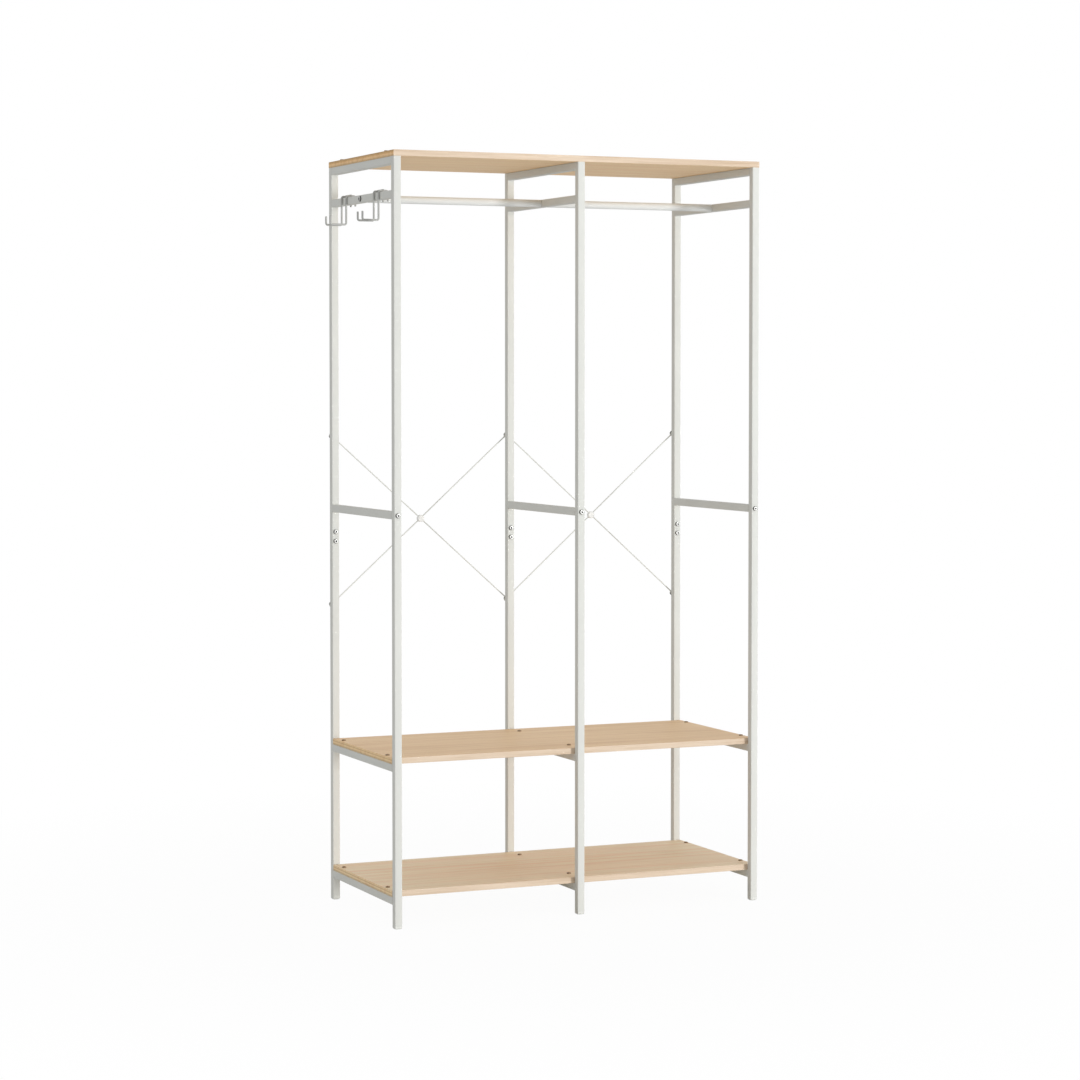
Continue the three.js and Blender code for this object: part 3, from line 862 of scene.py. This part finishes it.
def make_brace(bay, slope):
    """Round rod between two bolts, its ends pressed flat into eyes."""
    node = f"{bay}_{slope}_brace"
    sides = ("left", "middle") if bay == "left" else ("middle", "right")
    levels = ("upper", "lower") if slope == "falling" else ("lower", "upper")
    ends = []
    for side, level in zip(sides, levels):
        low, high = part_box(f"{side}_{level}_brace_bolt")
        ends.append((low + high) / 2)
    low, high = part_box(node)
    plane_y, turn = (high.y, -1) if slope == "falling" else (low.y, 1)
    for end in ends:
        end.y = plane_y
    along = (ends[1] - ends[0]).normalized()
    across = Vector((-along.z, 0, along.x))

    def ring_at(centre, half_width, half_thickness, squareness):
        offset = BRACE_EYE_OFFSET
        if squareness <= EYE_SQUARENESS:
            offset = BRACE_ROD_OFFSET + (BRACE_EYE_OFFSET - BRACE_ROD_OFFSET) * squareness
        power = 1 - SQUARE_POWER_SHARE * squareness
        ring = []
        for step in range(BRACE_STEPS):
            angle = 2 * math.pi * step / BRACE_STEPS
            u, v = math.cos(angle), math.sin(angle)
            u = math.copysign(abs(u) ** power, u) * half_width * MM
            v = math.copysign(abs(v) ** power, v) * half_thickness * MM
            ring.append(centre + u * across + Vector((0, turn * offset + v, 0)))
        return ring

    rings = []
    for past, *section in reversed(BRACE_STATIONS):
        rings.append(ring_at(ends[0] - past * MM * along, *section))
    for past, *section in BRACE_STATIONS:
        rings.append(ring_at(ends[1] + past * MM * along, *section))
    mesh = mesh_from(f"{node}_rod", ring_loft(rings), BAR_SHARP_ANGLE)
    link_piece(f"{node}_rod", mesh, [COAT], replaces=(node,))


def make_rod(bay):
    """Hanging rod with eased ends."""
    node = f"{bay}_hanging_rod"
    low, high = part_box(node)
    centre = (low + high) / 2
    radius = (high.z - low.z) / 2
    length = high.x - low.x
    middle = ROD_END_EASE * MIDDLE_RING_SHARE
    profile = [
        (radius - ROD_END_EASE, 0),
        (radius - middle, middle),
        (radius, ROD_END_EASE),
        (radius, length - ROD_END_EASE),
        (radius - middle, length - middle),
        (radius - ROD_END_EASE, length),
    ]
    shell = lathe(profile, (low.x, centre.y, centre.z), (1, 0, 0), ROD_STEPS)
    link_piece(f"{node}_tube", mesh_from(f"{node}_tube", shell), [ROD_COAT], replaces=(node,))


def paint_clips_and_sleeves():
    """Clips and sleeves keep their solids."""
    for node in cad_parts:
        if "brace_clip" in node:
            paint_solid(node, (CLIP_PLASTIC,))
        elif "sleeve" in node:
            paint_solid(node, (STEEL,))


# Screws and bolts
def make_frame_screw(name, place, direction):
    screw_head(
        name,
        place,
        direction,
        FRAME_SCREW_RADIUS,
        FRAME_SCREW_HEIGHT,
        FRAME_SCREW_SOCKET,
    )


def make_frame_screws():
    """Screw of each middle rail's end, and two screws beside each post's seam."""
    for side in SIDES:
        rail_low, rail_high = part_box(f"{side}_middle_rail")
        centre = (rail_low + rail_high) / 2
        for end, outward in (("front", -1), ("rear", 1)):
            post_low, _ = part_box(f"{side}_{end}_upper_post")
            outer_y, inner_y = post_faces(side, end)
            place = (centre.x, outer_y, centre.z)
            make_frame_screw(f"{side}_{end}_rail_screw", place, (0, outward, 0))
            for level, offset in (("upper", SLEEVE_SCREW_OFFSET), ("lower", -SLEEVE_SCREW_OFFSET)):
                place = (centre.x, inner_y, post_low.z + offset)
                make_frame_screw(f"{side}_{end}_{level}_sleeve_screw", place, (0, -outward, 0))


def make_board_screws():
    """Two screws in each board above each side frame."""
    top_low, top_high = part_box("top_board")
    rows = (
        ("front", top_low.y + BOARD_SCREW_INSET),
        ("rear", top_high.y - BOARD_SCREW_INSET),
    )
    for board_name in BOARDS:
        _, board_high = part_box(board_name)
        for side in SIDES:
            rail_low, rail_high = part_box(f"{side}_top_rail")
            x = (rail_low.x + rail_high.x) / 2
            for end, y in rows:
                screw_head(
                    f"{board_name}_{side}_{end}_screw",
                    (x, y, board_high.z),
                    (0, 0, 1),
                    BOARD_SCREW_RADIUS,
                    BOARD_SCREW_HEIGHT,
                    BOARD_SCREW_SOCKET,
                    on_board=True,
                )


def make_bolt(node, place, direction, shank_length):
    screw_head(
        f"{node}_head",
        place,
        direction,
        BOLT_HEAD_RADIUS,
        BOLT_HEAD_HEIGHT,
        BOLT_SOCKET_RADIUS,
        replaces=(node,),
        shank=(BOLT_SHANK_RADIUS, shank_length),
    )


def make_bolts():
    """Bolts of the rods and of the braces, each with its shank, in place of the plain solids."""
    for bay, direction in (("left", -1), ("right", 1)):
        node = f"{bay}_rod_bolt"
        low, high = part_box(node)
        centre = (low + high) / 2
        seat = low.x + BOLT_HEAD_HEIGHT if direction < 0 else high.x - BOLT_HEAD_HEIGHT
        shank_length = high.x - low.x - BOLT_HEAD_HEIGHT
        make_bolt(node, (seat, centre.y, centre.z), (direction, 0, 0), shank_length)
    for side in SIDES:
        for level in LEVELS:
            node = f"{side}_{level}_brace_bolt"
            low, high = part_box(node)
            centre = (low + high) / 2
            seat = high.y - BOLT_HEAD_HEIGHT
            make_bolt(node, (centre.x, seat, centre.z), (0, 1, 0), seat - low.y)


for side_name in SIDES:
    make_side_frame(side_name)
for side_name in SIDES:
    for level_name in LEVELS:
        make_boss(side_name, level_name)
paint_boards()
for hook_name in ("front_hook", "rear_hook"):
    make_hook(hook_name)
for bay_name in BAYS:
    for slope_name in ("falling", "rising"):
        make_brace(bay_name, slope_name)
for bay_name in BAYS:
    make_rod(bay_name)
paint_clips_and_sleeves()
make_frame_screws()
make_board_screws()
make_bolts()


# Camera, floor, world and light
def place_camera():
    data = bpy.data.cameras.new("camera")
    camera = bpy.data.objects.new("camera", data)
    bpy.context.scene.collection.objects.link(camera)
    camera.location = CAMERA_PLACE
    camera.rotation_euler = (math.pi / 2 - CAMERA_PITCH, 0, -CAMERA_YAW)
    data.sensor_width = SENSOR_WIDTH
    data.lens = FOCAL_PIXELS * SENSOR_WIDTH / PHOTO_PIXELS
    data.shift_y = CAMERA_SHIFT
    data.clip_end = CAMERA_FAR
    bpy.context.scene.camera = camera


def make_floor():
    corners = [
        (-FLOOR_HALF, -FLOOR_HALF, 0),
        (FLOOR_HALF, -FLOOR_HALF, 0),
        (FLOOR_HALF, FLOOR_HALF, 0),
        (-FLOOR_HALF, FLOOR_HALF, 0),
    ]
    mesh = bpy.data.meshes.new("floor")
    mesh.from_pydata(corners, [], [(0, 1, 2, 3)])
    floor = bpy.data.objects.new("floor", mesh)
    bpy.context.scene.collection.objects.link(floor)
    material, tree, shader = new_material("floor")
    shader.inputs["Base Color"].default_value = (FLOOR_GREY, FLOOR_GREY, FLOOR_GREY, 1)
    shader.inputs["Roughness"].default_value = 1.0
    shader.inputs["Specular IOR Level"].default_value = 0.0
    white = add_node(tree, "ShaderNodeEmission", Strength=1.0, Color=(*WHITE, 1))
    path = tree.nodes.new("ShaderNodeLightPath")
    gradient = tree.nodes.new("ShaderNodeTexGradient")
    gradient.gradient_type = "SPHERICAL"
    place = object_coordinates(tree, scale=(FLOOR_NEAR_SCALE,) * 3)
    tree.links.new(place, gradient.inputs["Vector"])
    near = map_range(tree, gradient.outputs["Fac"], 0.0, FLOOR_NEAR_FULL, 1.0, FLOOR_NEAR_WHITE)
    factor = math_node(tree, "MULTIPLY", path.outputs["Is Camera Ray"], near)
    lit = shader.outputs["BSDF"]
    mix_shaders(tree, factor, lit, white.outputs["Emission"], "Material Output")
    mesh.materials.append(material)


def make_world():
    """Surround that lights softly from its sides, and is white to the camera, gloss and glass."""
    world = bpy.data.worlds.new("studio")
    bpy.context.scene.world = world
    world.use_nodes = True
    tree = world.node_tree
    soft = tree.nodes["Background"]
    soft.inputs["Color"].default_value = (*WHITE, 1)
    source = tree.nodes.new("ShaderNodeTexCoord")
    split = tree.nodes.new("ShaderNodeSeparateXYZ")
    tree.links.new(source.outputs["Generated"], split.inputs["Vector"])
    height = split.outputs["Z"]
    fading = map_range(tree, height, 0.0, SURROUND_FADE_END, SURROUND_HORIZON, SURROUND_ZENITH)
    tree.links.new(fading, soft.inputs["Strength"])
    bright = add_node(tree, "ShaderNodeBackground", Strength=1.0, Color=(*WHITE, 1))
    path = tree.nodes.new("ShaderNodeLightPath")
    seen = math_node(tree, "ADD", path.outputs["Is Camera Ray"], path.outputs["Is Glossy Ray"])
    seen = math_node(tree, "ADD", seen, path.outputs["Is Transmission Ray"])
    lighting = soft.outputs["Background"]
    mix_shaders(tree, seen, lighting, bright.outputs["Background"], "World Output")


def make_key_light():
    """Softbox that stands on the floor in front of the object's right side."""
    data = bpy.data.lights.new("key", "AREA")
    data.shape = "RECTANGLE"
    data.size = KEY_WIDTH
    data.size_y = KEY_HEIGHT
    data.energy = KEY_POWER
    key = bpy.data.objects.new("key", data)
    bpy.context.scene.collection.objects.link(key)
    towards = Vector((-math.sin(KEY_AZIMUTH), math.cos(KEY_AZIMUTH), 0))
    key.location = -KEY_DISTANCE * towards + Vector((0, 0, KEY_HEIGHT / 2 + KEY_FOOT))
    key.rotation_euler = towards.to_track_quat("-Z", "Y").to_euler()


place_camera()
make_floor()
make_world()
make_key_light()
bpy.context.scene.view_settings.view_transform = "Standard"

bpy.context.view_layer.update()
